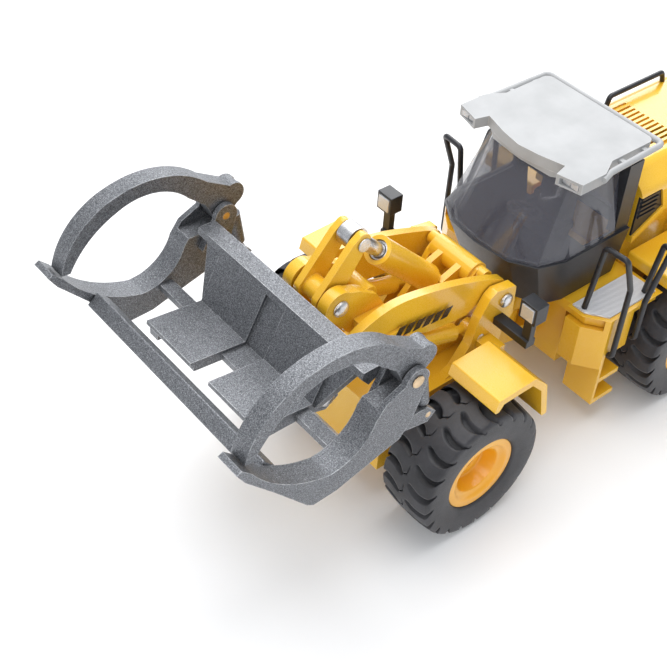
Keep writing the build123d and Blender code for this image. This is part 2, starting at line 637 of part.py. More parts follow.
with BuildPart() as tilt_rod:
    along(TILT_BASE, TILT_EYE, 1.7, 0, 17.6, TILT_LEN - 1.6)
    eye(TILT_EYE, 2.9, 0, 3.8)
    cross(TILT_EYE, 1.2 + TILT_CLEAR, -10, 10, Mode.SUBTRACT)
save(tilt_rod, "tilt_rod")

BELL = ((11.9, 75.2), (14.6, 76.8), (17.3, 74.8), (27.0, 63.4), (26.4, 59.0), (20.5, 51.4), (17.5, 49.7), (14.9, 52.0),
        (18.6, 60.6), (18.4, 64.6))

with BuildPart() as bellcrank:
    for way in BOTH:
        plate(BELL, way * BELL_MID, BELL_T, 1.6)
    eye(BELL_PIVOT, 2.8, 0, 2 * BELL_MID)
    cross(BELL_PIVOT, 1.5 + RUN, -10, 10, Mode.SUBTRACT)
    cross(TILT_EYE, 1.2, -10, 10, Mode.SUBTRACT)
    cross(LINK_REAR, 1.2 + RUN, -10, 10, Mode.SUBTRACT)
save(bellcrank, "bellcrank")

pin("bellcrank_pin", BELL_PIVOT, 1.5, -7.6, 7.6, 2.0, 0.4)

with BuildPart() as part:
    for point in (TILT_EYE, LINK_REAR):
        cross(point, 1.2, -BELL_MID - 0.9, BELL_MID + 0.9)
        for way in BOTH:
            cross(point, 1.7, way * (BELL_MID + 0.9), way * (BELL_MID + 1.4))
save(part, "bellcrank_end_pins")

LINK_LEN = lengthwise(LINK_REAR, LINK_FRONT)
LINK_ANGLE = degrees(atan2(LINK_FRONT[1] - LINK_REAR[1], LINK_FRONT[0] - LINK_REAR[0]))

with BuildPart() as drag_link:
    with BuildSketch(side()) as bar:
        with Locations(Location((LINK_REAR[0], LINK_REAR[1]), LINK_ANGLE)):
            with Locations((LINK_LEN / 2, 0)):
                Rectangle(LINK_LEN, 3.0)
            Circle(2.3)
            with Locations((LINK_LEN, 0)):
                Circle(3.1)
    extrude(bar.sketch, amount=1.4, both=True)
    cross(LINK_REAR, 1.2 + RUN, -10, 10, Mode.SUBTRACT)
    cross(LINK_FRONT, 0.9 + 1.25, -10, 10, Mode.SUBTRACT)
save(drag_link, "drag_link")


# ---------------------------------------------------------------- grab
BACK = ((33.6, 65.6), (39.9, 53.0), (53.6, 54.6), (53.8, 52.8), (39.0, 51.2), (31.6, 65.0))
PLATE_IN = 3.3                       # the two wide liner plates stand proud of the middle strip
PLATE_OUT = 20.0
LINER = ((34.5, 66.0), (40.3, 54.0), (54.6, 55.6), (54.8, 54.6), (39.9, 52.9), (33.6, 65.5))
BACK_TOP = ((29.6, 64.4), (30.2, 66.6), (34.6, 66.6), (34.9, 64.9), (33.0, 62.6))
TINE_IN = TINE_MID - TINE_T / 2
EAR_T = 1.4                          # ears of the fork that carries a claw
EAR_MID = CLAW_MID - CLAW_T / 2 - GAP - EAR_T / 2
EAR_IN = EAR_MID - EAR_T / 2

with BuildPart() as grab_back:
    plate(BACK, 0, 2 * PLATE_OUT)
    with BuildSketch(Plane(origin=(FRONT_X + 33.6, 0, 65.6), x_dir=(0, 1, 0), z_dir=(0.894, 0, 0.447))) as wall:
        with BuildLine():
            Polyline((-26.5, 0), (26.5, 0), (20.5, -14.0), (-20.5, -14.0), close=True)
        make_face()
    extrude(wall.sketch, amount=-2.0)
    plate(BACK_TOP, 0, 2 * EAR_IN)
    for way in BOTH:
        plate(LINER, way * (PLATE_IN + PLATE_OUT) / 2, PLATE_OUT - PLATE_IN)
        block(41.0, 44.4, way * (PLATE_OUT - 1), way * TINE_IN, 51.4, 53.2)
        block(41.0, 54.0, way * (PLATE_OUT - 3), way * PLATE_OUT, 51.4, 54.0)
        for y in (BOOM_IN - GAP - EAR_T / 2, BOOM_OUT + GAP + EAR_T / 2):
            plate(((36.5, 56.5), (44.0, 51.9), (40.0, 50.9), (34.5, 42.6), (31.0, 41.6), (27.6, 44.0), (29.0, 48.0)),
                  way * y, EAR_T)
        plate(((34.8, 61.6), (36.6, 57.5), (32.0, 54.0), (29.0, 54.4), (27.4, 57.0), (29.4, 60.0)), way * 2.6, 1.8)
    block(46.5, 54, -PLATE_IN, PLATE_IN, 50, 58, Mode.SUBTRACT)
    cross(GRAB_PIVOT, 1.4 + RUN, -30, 30, Mode.SUBTRACT)
    cross(LINK_FRONT, 0.9, -10, 10, Mode.SUBTRACT)
save(grab_back, "grab_back")

pair_pins("grab_pivot_pins", GRAB_PIVOT, 1.4, BOOM_IN - 1.7, BOOM_OUT + 1.7, 1.9, 0.4)
pin("grab_link_pin", LINK_FRONT, 0.9, -3.5, 3.5, 1.3, 0.4)

with BuildPart() as grab_front_bar:
    plate(((57.6, 56.2), (60.4, 59.4), (63.2, 57.0), (60.4, 53.8)), 0, 2 * TINE_IN)
save(grab_front_bar, "grab_front_bar")

SLOT_Z = 62.8                        # bottom of the fork that takes the claw's root

for name, way in SIDES:
    with BuildPart() as tine:
        with BuildSketch(side(way * TINE_MID)) as outline:
            with BuildLine():
                Polyline((67.9, 66.7), (70.2, 69.0), (71.4, 68.4), (69.6, 65.4), (62.8, 57.8), (54.2, 47.6), (52.6, 46.5),
                         (46.7, 46.8), (30.3, 51.5), (27.4, 55.1), (25.4, 60.8), (23.9, 66.3))
                ThreePointArc((23.9, 66.3), (27.0, 69.4), (30.1, 66.6))
                Polyline((30.1, 66.6), (35.0, 64.4), (37.4, 61.1))
                ThreePointArc((37.4, 61.1), (42.2, 54.8), (49.0, 52.9))
                ThreePointArc((49.0, 52.9), (56.0, 55.6), (67.9, 66.7))
            make_face()
        extrude(outline.sketch, amount=TINE_T / 2, both=True)
        eye(CLAW_PIVOT, 3.0, way * EAR_MID, EAR_T)
        plate(((24.0, 66.0), (30.0, 66.0), (33.0, 60.0), (25.8, 60.0)), way * EAR_MID, EAR_T)
        plate(((25.6, 62.6), (31.6, 62.6), (33.6, 59.0), (26.2, 59.0)), way * (EAR_IN + TINE_IN) / 2, TINE_IN - EAR_IN)
        plate(((29.0, 56.5), (32.0, 51.0), (20.5, 48.9), (18.4, 51.0), (20.5, 53.2), (25.6, 60.0)),
              way * (CLAW_MID - 1.4), 1.4)
        plate(((29.0, 56.5), (32.0, 51.0), (20.5, 48.9), (18.4, 51.0), (20.5, 53.2), (25.6, 60.0)),
              way * (CLAW_MID + 1.4), 1.4)
        slot_in = CLAW_MID - CLAW_T / 2 - GAP
        slot_out = CLAW_MID + CLAW_T / 2 + GAP
        block(15, 40, way * slot_in, way * slot_out, SLOT_Z, 72, Mode.SUBTRACT)
        block(15, 24.9, way * (CLAW_MID - 0.7), way * (CLAW_MID + 0.7), 47, 64, Mode.SUBTRACT)
        block(15, 25.6, way * (slot_in + 0.2), way * (slot_out - 0.2), 53.6, 64, Mode.SUBTRACT)
        cross(CLAW_PIVOT, 1.0, way * 20, way * 40, Mode.SUBTRACT)
        cross(CLAW_BASE, 0.8, way * 20, way * 40, Mode.SUBTRACT)
    save(tine, f"grab_tine_{name}")

pair_pins("claw_pivot_pins", CLAW_PIVOT, 1.0, CLAW_MID - CLAW_T / 2 - GAP - EAR_T, TINE_MID + TINE_T / 2, 1.5, 0.35)
pair_pins("claw_base_pins", CLAW_BASE, 0.8, CLAW_MID - 2.1, CLAW_MID + 2.1)

CLAW_CLEAR = 0.45                    # the rod eyes are the open pivots of the claw linkages
LEVER_T = 1.1
EYE_T = 1.8
CLAW_LEN = lengthwise(CLAW_BASE, CLAW_EYE)

for name, way in SIDES:
    with BuildPart() as claw:
        with BuildSketch(side(way * CLAW_MID)) as outline:
            with BuildLine():
                ThreePointArc((68.4, 67.6), (63.6, 76.6), (54.0, 82.2))
                ThreePointArc((54.0, 82.2), (42.4, 82.6), (31.0, 76.6))
                Polyline((31.0, 76.6), (24.8, 72.9))
                ThreePointArc((24.8, 72.9), (20.9, 70.6), (22.6, 67.4))
                Polyline((22.6, 67.4), (24.6, 65.6))
                ThreePointArc((24.6, 65.6), (27.3, 63.9), (29.3, 66.0))
                Polyline((29.3, 66.0), (31.6, 70.4), (36.0, 74.2))
                ThreePointArc((36.0, 74.2), (45.0, 79.4), (54.0, 78.2))
                ThreePointArc((54.0, 78.2), (61.6, 73.4), (66.2, 67.4))
                Line((66.2, 67.4), (68.4, 67.6))
            make_face()
        extrude(outline.sketch, amount=CLAW_T / 2, both=True)
        with BuildSketch(side(way * CLAW_MID)) as fork:
            with Locations(CLAW_EYE):
                Circle(2.5)
            with Locations((CLAW_EYE[0] - 3.0, CLAW_EYE[1])):
                Rectangle(6.0, 5.0)
            with Locations((CLAW_EYE[0] - 1.0, CLAW_EYE[1] - 3.5)):
                Rectangle(4.6, 6.6)
        extrude(fork.sketch, amount=CLAW_T / 2 - LEVER_T, both=True, mode=Mode.SUBTRACT)
        eye(CLAW_PIVOT, 2.3, way * CLAW_MID, CLAW_T)
        cross(CLAW_PIVOT, 1.0 + RUN, way * 20, way * 40, Mode.SUBTRACT)
        cross(CLAW_EYE, 0.8, way * (CLAW_MID - CLAW_T / 2), way * (CLAW_MID + CLAW_T / 2))
    save(claw, f"claw_{name}")
    with BuildPart() as barrel:
        along(CLAW_BASE, CLAW_EYE, 1.7, way * CLAW_MID, 3.1, 12.0)
        along(CLAW_BASE, CLAW_EYE, 0.65, way * CLAW_MID, 0, 3.4)
        eye(CLAW_BASE, 1.5, way * CLAW_MID, 1.3)
        cross(CLAW_BASE, 0.8 + RUN, way * 20, way * 40, Mode.SUBTRACT)
        along(CLAW_BASE, CLAW_EYE, 0.8 + RUN, way * CLAW_MID, 3.4, 13, Mode.SUBTRACT)
    save(barrel, f"claw_barrel_{name}")
    with BuildPart() as rod:
        along(CLAW_BASE, CLAW_EYE, 0.8, way * CLAW_MID, 8.2, CLAW_LEN - 1.5)
        eye(CLAW_EYE, 2.0, way * CLAW_MID, EYE_T)
        cross(CLAW_EYE, 0.8 + CLAW_CLEAR, way * 20, way * 40, Mode.SUBTRACT)
    save(rod, f"claw_rod_{name}")
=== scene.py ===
import json
import math

import bmesh
import bpy
from mathutils import Matrix, Vector


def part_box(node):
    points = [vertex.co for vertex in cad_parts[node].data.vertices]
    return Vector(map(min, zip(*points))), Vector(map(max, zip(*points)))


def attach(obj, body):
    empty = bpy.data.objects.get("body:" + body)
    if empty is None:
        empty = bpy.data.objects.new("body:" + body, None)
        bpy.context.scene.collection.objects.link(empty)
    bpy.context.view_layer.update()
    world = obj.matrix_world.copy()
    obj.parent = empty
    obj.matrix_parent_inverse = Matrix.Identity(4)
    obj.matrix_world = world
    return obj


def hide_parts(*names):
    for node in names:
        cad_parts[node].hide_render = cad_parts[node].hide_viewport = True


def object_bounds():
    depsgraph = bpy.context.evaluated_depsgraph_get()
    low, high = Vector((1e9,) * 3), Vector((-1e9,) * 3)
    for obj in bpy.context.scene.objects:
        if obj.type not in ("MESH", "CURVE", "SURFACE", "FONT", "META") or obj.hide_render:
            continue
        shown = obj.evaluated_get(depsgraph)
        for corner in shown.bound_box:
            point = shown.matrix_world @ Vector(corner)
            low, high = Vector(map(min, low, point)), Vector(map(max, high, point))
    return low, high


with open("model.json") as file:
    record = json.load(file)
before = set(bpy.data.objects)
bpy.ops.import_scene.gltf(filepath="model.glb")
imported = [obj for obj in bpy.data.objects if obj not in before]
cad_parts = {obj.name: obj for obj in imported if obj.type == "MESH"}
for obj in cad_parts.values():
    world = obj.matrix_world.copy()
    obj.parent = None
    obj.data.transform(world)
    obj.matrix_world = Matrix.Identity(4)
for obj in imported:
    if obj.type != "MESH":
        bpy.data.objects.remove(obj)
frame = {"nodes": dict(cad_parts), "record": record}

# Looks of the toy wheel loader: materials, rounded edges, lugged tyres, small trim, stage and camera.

CAD_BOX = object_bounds()
MM = 0.001
SLOTS = {part["node"]: part["material_slot"] for part in frame["record"]["subparts"]}
PIVOTS = {joint["name"]: joint.get("pos_m") for joint in frame["record"]["behaviour"]["joints"]}


# ---------------------------------------------------------------- node helpers
class Graph:
    """A material's node tree with short calls to add and link nodes."""

    def __init__(self, name):
        self.material = bpy.data.materials.new(name)
        self.material.use_nodes = True
        self.tree = self.material.node_tree
        self.shader = self.tree.nodes["Principled BSDF"]

    def add(self, kind, **inputs):
        node = self.tree.nodes.new("ShaderNode" + kind)
        for key, value in inputs.items():
            socket = node.inputs[int(key[1:])] if key[0] == "i" and key[1:].isdigit() else node.inputs[key]
            self.feed(socket, value)
        return node

    def feed(self, socket, value):
        if isinstance(value, bpy.types.NodeSocket):
            self.tree.links.new(value, socket)
        else:
            socket.default_value = value

    def set(self, **inputs):
        for key, value in inputs.items():
            self.feed(self.shader.inputs[key.replace("_", " ")], value)

    def place(self, scale=1.0):
        """Object coordinates in millimetres, times scale."""
        where = self.add("TexCoord")
        size = self.tree.nodes.new("ShaderNodeMapping")
        size.inputs["Scale"].default_value = (scale / MM,) * 3
        self.tree.links.new(where.outputs["Object"], size.inputs["Vector"])
        return size.outputs["Vector"]

    def noise(self, scale, detail=3.0, rough=0.5):
        node = self.add("TexNoise", Vector=self.place(), Scale=scale, Detail=detail, Roughness=rough)
        return node.outputs["Fac"]

    def cells(self, scale, feature="F1"):
        node = self.add("TexVoronoi", Vector=self.place(), Scale=scale)
        node.feature = feature
        return node

    def range(self, value, a, b, low=0.0, high=1.0):
        node = self.add("MapRange", i0=value, i1=a, i2=b, i3=low, i4=high)
        return node.outputs[0]

    def math(self, kind, a, b=0.0):
        node = self.tree.nodes.new("ShaderNodeMath")
        node.operation = kind
        node.use_clamp = False
        self.feed(node.inputs[0], a)
        self.feed(node.inputs[1], b)
        return node.outputs[0]

    def mix(self, share, a, b, blend="MIX"):
        node = self.tree.nodes.new("ShaderNodeMix")
        node.data_type = "RGBA"
        node.blend_type = blend
        self.feed(node.inputs[0], share)
        self.feed(node.inputs[6], a)
        self.feed(node.inputs[7], b)
        return node.outputs[2]

    def bump(self, height, distance, strength=1.0, normal=None):
        node = self.add("Bump", Height=height, Distance=distance, Strength=strength)
        if normal is not None:
            self.feed(node.inputs["Normal"], normal)
        return node.outputs["Normal"]

    def edges(self, radius):
        """1 on sharp corners within radius of an edge and 0 on open faces."""
        rounded = self.add("Bevel", Radius=radius)
        rounded.samples = 6
        plain = self.add("NewGeometry")
        dot = self.tree.nodes.new("ShaderNodeVectorMath")
        dot.operation = "DOT_PRODUCT"
        self.tree.links.new(rounded.outputs[0], dot.inputs[0])
        self.tree.links.new(plain.outputs["Normal"], dot.inputs[1])
        return self.range(dot.outputs["Value"], 0.995, 0.86)

    def painted_crease_shade(self, distance):
        """1 in tight inside corners and 0 in the open; the mask for painted shade."""
        shade = self.add("AmbientOcclusion", Distance=distance)
        shade.samples = 6
        return self.range(shade.outputs["AO"], 0.85, 0.25)


def rgb(red, green, blue):
    return (red, green, blue, 1.0)


# ---------------------------------------------------------------- materials
def enamel(name, light, deep, gloss=0.28):
    """Sprayed enamel over a casting: slow colour drift, orange peel, painted shade darkening the tight
    inside corners and a painted highlight lightening the sharp edges.
    """
    g = Graph(name)
    drift = g.range(g.noise(0.05, 2.0), 0.35, 0.65)
    body = g.mix(drift, light, deep)
    # painted shade: tight inside corners darkened towards deep brown-orange
    body = g.mix(g.math("MULTIPLY", g.painted_crease_shade(1.6 * MM), 0.5), body, rgb(0.42, 0.16, 0.004))
    # painted highlight: sharp edges lightened towards pale yellow
    body = g.mix(g.math("MULTIPLY", g.edges(0.3 * MM), 0.25), body, rgb(1.0, 0.72, 0.2))
    peel = g.noise(1.3, 2.0)
    dust = g.noise(6.0, 2.0)
    g.set(Base_Color=body, Roughness=g.range(dust, 0.3, 0.8, gloss - 0.06, gloss + 0.1))
    g.set(Normal=g.bump(peel, 0.05 * MM, 0.5), Coat_Weight=0.5, Coat_Roughness=0.12, Specular_IOR_Level=0.5)
    return g.material


def hammered(name):
    """Grey metallic paint with a coarse sparkle, silvery where the edges have rubbed."""
    g = Graph(name)
    grain = g.noise(3.4, 3.0, 0.65)
    flakes = g.cells(8.0).outputs["Color"]
    spread = g.add("SeparateColor", i0=flakes).outputs[0]
    sparkle = g.range(spread, 0.72, 1.0)
    body = g.mix(g.range(grain, 0.3, 0.7), rgb(0.06, 0.063, 0.07), rgb(0.26, 0.27, 0.29))
    body = g.mix(g.math("MULTIPLY", sparkle, 0.55), body, rgb(0.62, 0.63, 0.65))
    rubbed = g.math("MULTIPLY", g.edges(0.35 * MM), g.range(g.noise(0.5, 3.0, 0.7), 0.35, 0.6))
    body = g.mix(g.math("MULTIPLY", rubbed, 0.8), body, rgb(0.72, 0.73, 0.75))
    # painted shade: tight inside corners darkened towards near black
    body = g.mix(g.math("MULTIPLY", g.painted_crease_shade(1.4 * MM), 0.6), body, rgb(0.02, 0.02, 0.022))
    g.set(Base_Color=body, Metallic=0.75, Roughness=g.range(spread, 0.0, 1.0, 0.34, 0.58))
    hills = g.bump(g.noise(2.2, 2.0), 0.22 * MM, 0.55)
    g.set(Normal=g.bump(spread, 0.06 * MM, 0.5, hills))
    return g.material


def turned_steel(name, tint=rgb(0.74, 0.74, 0.75), rough=0.26):
    """Bright metal with fine scratches."""
    g = Graph(name)
    lines = g.noise(9.0, 4.0, 0.7)
    marks = g.noise(0.8, 3.0)
    body = g.mix(g.range(marks, 0.35, 0.75), tint, tuple(0.72 * c for c in tint[:3]) + (1.0,))
    g.set(Base_Color=body, Metallic=1.0, Roughness=g.range(lines, 0.3, 0.7, rough - 0.08, rough + 0.14))
    g.set(Normal=g.bump(lines, 0.02 * MM, 0.6))
    return g.material


def rubber(name):
    """Black vinyl-like rubber with a dull bloom and fine moulding grain."""
    g = Graph(name)
    bloom = g.range(g.noise(0.22, 4.0, 0.6), 0.3, 0.75)
    body = g.mix(bloom, rgb(0.018, 0.018, 0.021), rgb(0.042, 0.041, 0.047))
    # painted shade: tight inside corners darkened towards black
    body = g.mix(g.math("MULTIPLY", g.painted_crease_shade(1.8 * MM), 0.8), body, rgb(0.004, 0.005, 0.008))
    grain = g.noise(5.0, 3.0, 0.6)
    g.set(Base_Color=body, Roughness=g.range(grain, 0.3, 0.7, 0.46, 0.66), Specular_IOR_Level=0.45)
    g.set(Normal=g.bump(grain, 0.04 * MM, 0.5), Sheen_Weight=0.12, Sheen_Roughness=0.5)
    return g.material


def plastic(name, dark, pale, rough, grain_size=4.0):
    """Moulded plastic with a fine texture and a painted highlight along sharp edges."""
    g = Graph(name)
    drift = g.range(g.noise(0.12, 3.0), 0.3, 0.7)
    body = g.mix(drift, dark, pale)
    # painted highlight: a lighter copy of the pale colour along sharp edges
    edge_highlight = rgb(*(min(1, 2.2 * c + 0.02) for c in pale[:3]))
    body = g.mix(g.math("MULTIPLY", g.edges(0.3 * MM), 0.3), body, edge_highlight)
    grain = g.noise(grain_size, 3.0, 0.6)
    g.set(Base_Color=body, Roughness=g.range(grain, 0.3, 0.7, rough - 0.08, rough + 0.08))
    g.set(Normal=g.bump(grain, 0.03 * MM, 0.45))
    return g.material


def anti_slip(name):
    """Pale plate with a fine woven tread."""
    g = Graph(name)
    ribs = g.add("TexWave", Vector=g.place(), Scale=0.95, Distortion=0.6, Detail=1.0)
    ribs.bands_direction = "DIAGONAL"
    body = g.mix(g.range(ribs.outputs["Fac"], 0.25, 0.8), rgb(0.5, 0.51, 0.54), rgb(0.86, 0.86, 0.88))
    g.set(Base_Color=body, Metallic=0.15, Roughness=0.42)
    g.set(Normal=g.bump(ribs.outputs["Fac"], 0.2 * MM, 0.7))
    return g.material


def tinted_glass(name, tint, rough=0.05, alpha=0.42):
    """Clear moulded plastic with a smoky tint and slow ripples."""
    g = Graph(name)
    ripple = g.noise(0.14, 2.0)
    haze = g.noise(2.5, 3.0)
    g.set(Base_Color=g.mix(g.range(haze, 0.35, 0.7), tint, tuple(1.25 * c for c in tint[:3]) + (1.0,)))
    g.set(Roughness=g.range(haze, 0.3, 0.8, rough, rough + 0.06), Alpha=alpha, Coat_Weight=1.0)
    g.set(Normal=g.bump(ripple, 0.35 * MM, 0.25), Coat_Roughness=0.03, Specular_IOR_Level=0.7)
    return g.material


def lens(name):
    """Ribbed clear lamp lens over a silver reflector."""
    g = Graph(name)
    ribs = g.add("TexWave", Vector=g.place(), Scale=1.2)
    ribs.bands_direction = "Y"
    body = g.mix(ribs.outputs["Fac"], rgb(0.34, 0.35, 0.38), rgb(0.78, 0.79, 0.80))
    g.set(Base_Color=body, Roughness=0.08, Metallic=0.35, Coat_Weight=1.0, Coat_Roughness=0.02)
    g.set(Normal=g.bump(ribs.outputs["Fac"], 0.15 * MM, 0.6))
    return g.material


YELLOW = enamel("yellow_enamel", rgb(0.86, 0.50, 0.028), rgb(0.80, 0.43, 0.018))
RIM = enamel("rim_enamel", rgb(0.90, 0.44, 0.012), rgb(0.84, 0.37, 0.008), 0.34)
CASTING = hammered("hammered_grey")
STEEL = turned_steel("turned_steel")
BRASS = turned_steel("brass_rivet", rgb(0.70, 0.52, 0.33), 0.3)
RUBBER = rubber("tyre_rubber")
BLACK = plastic("black_plastic", rgb(0.010, 0.011, 0.014), rgb(0.022, 0.023, 0.028), 0.36)
GREY = plastic("roof_plastic", rgb(0.36, 0.365, 0.37), rgb(0.43, 0.435, 0.44), 0.5)
PLATE = anti_slip("anti_slip_plate")
GLASS = tinted_glass("smoky_glass", rgb(0.10, 0.10, 0.125))
LENS = lens("lamp_lens")
TRIM = plastic("cab_interior", rgb(0.035, 0.024, 0.017), rgb(0.075, 0.05, 0.035), 0.5)
LIVERY = plastic("livery_black", rgb(0.008, 0.008, 0.01), rgb(0.014, 0.014, 0.017), 0.3)

FINISHES = {
    "yellow_paint": YELLOW, "rim_paint": RIM, "tyre_rubber": RUBBER, "steel": STEEL, "brass": BRASS,
    "grab_casting": CASTING, "black_plastic": BLACK, "grey_plastic": GREY, "step_plate": PLATE,
    "smoked_glass": GLASS, "clear_lens": LENS, "cab_trim": TRIM,
}


# ---------------------------------------------------------------- CAD nodes
BEVELS = {                           # width of the rounded edges of each slot, in mm
    "yellow_paint": 0.4, "rim_paint": 0.3, "grab_casting": 0.35, "black_plastic": 0.25,
    "grey_plastic": 0.35, "steel": 0.22, "brass": 0.2, "cab_trim": 0.3, "smoked_glass": 0.15,
    "clear_lens": 0.12, "step_plate": 0.1,
}


def round_edges(obj, width):
    """Soft edges: joins the facets of each flat face, bevels what is sharp and evens the shading."""
    for polygon in obj.data.polygons:
        polygon.use_smooth = True
    weld = obj.modifiers.new("weld", "WELD")
    weld.merge_threshold = 0.002 * MM
    planes = obj.modifiers.new("planes", "DECIMATE")
    planes.decimate_type = "DISSOLVE"
    planes.angle_limit = math.radians(1.0)
    bevel = obj.modifiers.new("bevel", "BEVEL")
    bevel.width = width * MM
    bevel.segments = 2
    bevel.limit_method = "ANGLE"
    bevel.angle_limit = math.radians(32)
    bevel.use_clamp_overlap = True
    bevel.miter_outer = "MITER_ARC"
    even = obj.modifiers.new("even", "WEIGHTED_NORMAL")
    even.keep_sharp = True
    even.weight = 80


for name, obj in frame["nodes"].items():
    slot_name = SLOTS[name]
    for slot in obj.material_slots:
        slot.material = FINISHES[slot_name]
    if not obj.material_slots:
        obj.data.materials.append(FINISHES[slot_name])
    if slot_name in BEVELS:
        round_edges(obj, BEVELS[slot_name])


# ---------------------------------------------------------------- new pieces
def piece(name, bm, material, body, smooth=True):
    """Turns a bmesh into a shown piece that rides on a body."""
    bmesh.ops.recalc_face_normals(bm, faces=bm.faces)
    mesh = bpy.data.meshes.new(name)
    bm.to_mesh(mesh)
    bm.free()
    for polygon in mesh.polygons:
        polygon.use_smooth = smooth
    mesh.materials.append(material)
    obj = bpy.data.objects.new(name, mesh)
    bpy.context.scene.collection.objects.link(obj)
    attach(obj, body)
    return obj


def smoothstep(a, b, x):
    t = min(1.0, max(0.0, (x - a) / (b - a)))
    return t * t * (3 - 2 * t)


# ---- tyres: two rows of crescent slots that open at the shoulders, bulging opposite ways
LUGS = 21                            # slots in each row
PER_LUG = 14                         # mesh columns from one slot to the next
TYRE_R = 18.5
RIM_R = 10.2
CROWN = 7.1                          # half width of the tread
SHOULDER = 0.9                       # how far the sidewall bulges past it
SIDE_GAP = 0.02                      # between the bulge and the side of the CAD tyre's box
CROWN_DROP = 0.55
SLOT_IN = 0.17                       # where a slot begins, as a share of the half tread
SLOT_OUT = 1.45
SLOT_DEEP = 1.9
SLOT_WIDE = 0.30                     # share of the pitch
BULGE = 0.24                         # of a slot's crescent, in pitches
STAGGER = 0.22                       # between the two rows, in pitches
PHASE = 0.61


def tyre_section():
    """(offset from the middle plane, radius, place on the tread) across one half of a tyre."""
    rows = [(0.0, TYRE_R + 0.1, 0.0), (0.16, TYRE_R, 0.02)]
    for k in range(1, 25):
        s = 0.02 + 0.98 * k / 24
        rows.append((CROWN * s, TYRE_R - CROWN_DROP * s ** 2.4, s))
    for k in range(1, 9):
        a = math.radians(90) * k / 8
        drop = CROWN_DROP + 1.6 * (1 - math.cos(a))
        rows.append((CROWN + SHOULDER * math.sin(a), TYRE_R - drop, 1 + 0.4 * k / 8))
    top = TYRE_R - CROWN_DROP - 1.6
    for k in range(1, 13):
        t = k / 12
        dish = 0.2 * math.sin(math.pi * t) - 0.45 * t
        rows.append((CROWN + SHOULDER + dish, top - t * (top - RIM_R - 0.7), 1.4 + t))
    rows.append((CROWN + 0.3, RIM_R + 0.25, 3.0))
    rows.append((CROWN - 0.2, RIM_R, 3.0))
    rows.append((CROWN - 3.5, RIM_R, 3.0))
    return rows


def slot_share(s):
    """How far along its length a slot is at s."""
    return (s - SLOT_IN) / (SLOT_OUT - SLOT_IN)


def slot_width(s):
    """Width of a slot, as a share of the pitch: a round inner end that opens at the shoulder."""
    t = slot_share(s)
    if t <= 0 or t >= 1:
        return 0.0
    start = math.sqrt(max(0.0, 1 - (1 - min(1.0, t / 0.22)) ** 2))
    return SLOT_WIDE * start * (1 - 0.3 * smoothstep(0.45, 1.0, t))


def column_spots(width):
    """Places of one pitch's columns from the slot's middle, in pitches, crowded at the slot's walls."""
    half = max(width, 0.1) / 2
    wall = 0.028
    inside = [-half + wall, -half * 0.5, 0.0, half * 0.5, half - wall]
    left = half + wall
    outside = [left + (1 - 2 * left) * k / 8 for k in range(9)]
    return inside + outside


def tyre_ring(bm, y, r, s, way, centre):
    """One ring of vertices, with the slots pressed in."""
    width = slot_width(s)
    spots = column_spots(width)
    t = min(1.0, max(0.0, slot_share(s)))
    crowd = smoothstep(0.02, SLOT_IN, s) * (1 - smoothstep(1.5, 2.0, s))
    sweep = -BULGE * math.sin(math.pi * min(1.0, t * 1.15)) + 0.2 * smoothstep(0.75, 1.0, t)
    deep = SLOT_DEEP * (1 - smoothstep(0.86, 1.0, t)) if width > 0.05 else 0.0
    ring = []
    for lug in range(LUGS):
        for k in range(PER_LUG):
            even = k / PER_LUG - 0.14
            at = even + (spots[k] - even) * crowd + sweep * crowd
            angle = 2 * math.pi * (lug + PHASE + way * at + (STAGGER if way < 0 else 0.0)) / LUGS
            radius = r - (deep if k < 5 else 0.0)
            place = (radius * math.cos(angle), way * y, radius * math.sin(angle))
            ring.append(bm.verts.new([c * MM for c in place]))
    for vert in ring:
        vert.co += centre
    return ring


def bridge(bm, a, b):
    for k in range(len(a)):
        n = (k + 1) % len(a)
        bm.faces.new((a[k], a[n], b[n], b[k]))


def tyre(name, node, body, way):
    """A slotted tyre in the place of one solid of the CAD node."""
    low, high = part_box(node)
    outer = high.y if way > 0 else low.y
    middle = outer - way * (CROWN + SHOULDER + SIDE_GAP) * MM
    centre = Vector(((low.x + high.x) / 2, middle, (low.z + high.z) / 2))
    bm = bmesh.new()
    section = tyre_section()
    halves = {}
    for half in (1, -1):
        halves[half] = [tyre_ring(bm, y, r, s, half, centre) for y, r, s in section[1:]]
        for a, b in zip(halves[half], halves[half][1:]):
            bridge(bm, a, b)
    count = LUGS * PER_LUG
    near, far = halves[1], halves[-1]

    def partner(k):
        """Column of the far half that lies beside column k of the near half on the even rings."""
        lug, col = divmod(k, PER_LUG)
        return (lug * PER_LUG - col + 7) % count

    for a, b in ((near[0], far[0]), (near[-1], far[-1])):
        for k in range(count):
            n = (k + 1) % count
            bm.faces.new((a[k], b[partner(k)], b[partner(n)], a[n]))
    obj = piece(name, bm, RUBBER, body)
    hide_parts(node)
    return obj


for end in ("front", "rear"):
    for side, way in (("left", 1), ("right", -1)):
        tyre(f"{end}_tyre_{side}", f"{end}_tyres", f"{end}_wheels", way)


# ---- domed heads on the cross pins
DOMED = {
    "boom_pivot_pins": "front_half", "bellcrank_pin": "boom", "grab_pivot_pins": "boom",
    "lift_base_pins": "front_half",
}
DOME_SHARE = 0.4                     # height of a dome over its radius
SUNK = 0.05 * MM                     # how far a dome or strip sits in what carries it


